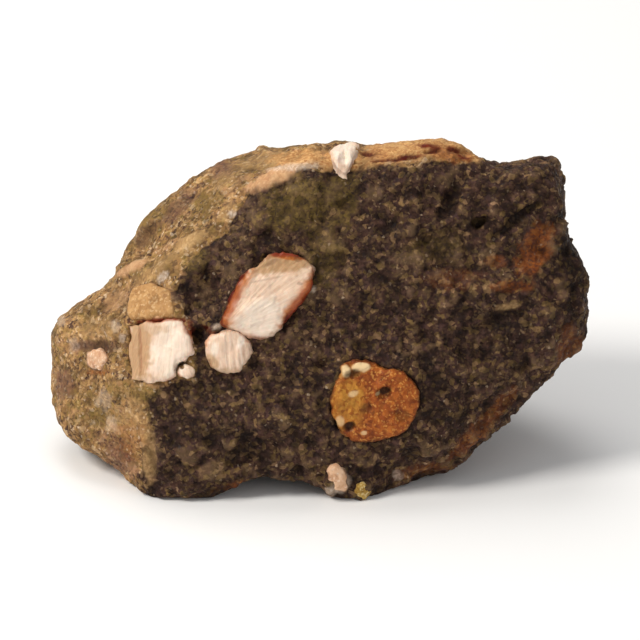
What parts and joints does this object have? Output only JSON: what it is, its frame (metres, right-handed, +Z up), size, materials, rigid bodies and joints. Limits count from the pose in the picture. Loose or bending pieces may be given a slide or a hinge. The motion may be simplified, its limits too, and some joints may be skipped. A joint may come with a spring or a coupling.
{
  "type": "amygdaloidal basalt specimen",
  "caption": "Broken hand specimen of dark basalt with white, pink, tan and orange mineral amygdales in its old gas bubbles and a pale weathered rind, standing on a flat foot.",
  "frame": {"origin": "middle of the stone's width and depth, at the level it stands on", "axes": "+X to the right along the stone's length as seen from its broad face, +Y to its back, +Z up"},
  "size_m": [0.1018, 0.0564, 0.0605],
  "materials": {
    "basalt": "matt, rough broken faces",
    "long_white_amygdale": "satin, pearly on broken faces",
    "round_white_amygdale": "satin, pearly on broken faces",
    "fibrous_white_amygdale": "satin, fibrous",
    "tan_amygdale": "matt",
    "white_grain_amygdale": "satin",
    "pink_amygdale": "satin",
    "orange_amygdale": "matt, pitted",
    "crest_white_amygdale": "satin",
    "foot_white_amygdale": "satin",
    "foot_yellow_amygdale": "satin",
    "back_white_amygdale": "satin",
    "back_orange_amygdale": "matt",
    "side_white_amygdale": "satin"
  },
  "bodies": {
    "root": {"basalt": "basalt", "long_white_amygdale": "long_white_amygdale", "round_white_amygdale": "round_white_amygdale", "fibrous_white_amygdale": "fibrous_white_amygdale", "tan_amygdale": "tan_amygdale", "white_grain_amygdale": "white_grain_amygdale", "pink_amygdale": "pink_amygdale", "orange_amygdale": "orange_amygdale", "crest_white_amygdale": "crest_white_amygdale", "foot_white_amygdale": "foot_white_amygdale", "foot_yellow_amygdale": "foot_yellow_amygdale", "back_white_amygdale": "back_white_amygdale", "back_orange_amygdale": "back_orange_amygdale", "side_white_amygdale": "side_white_amygdale"}
  },
  "joints": []
}
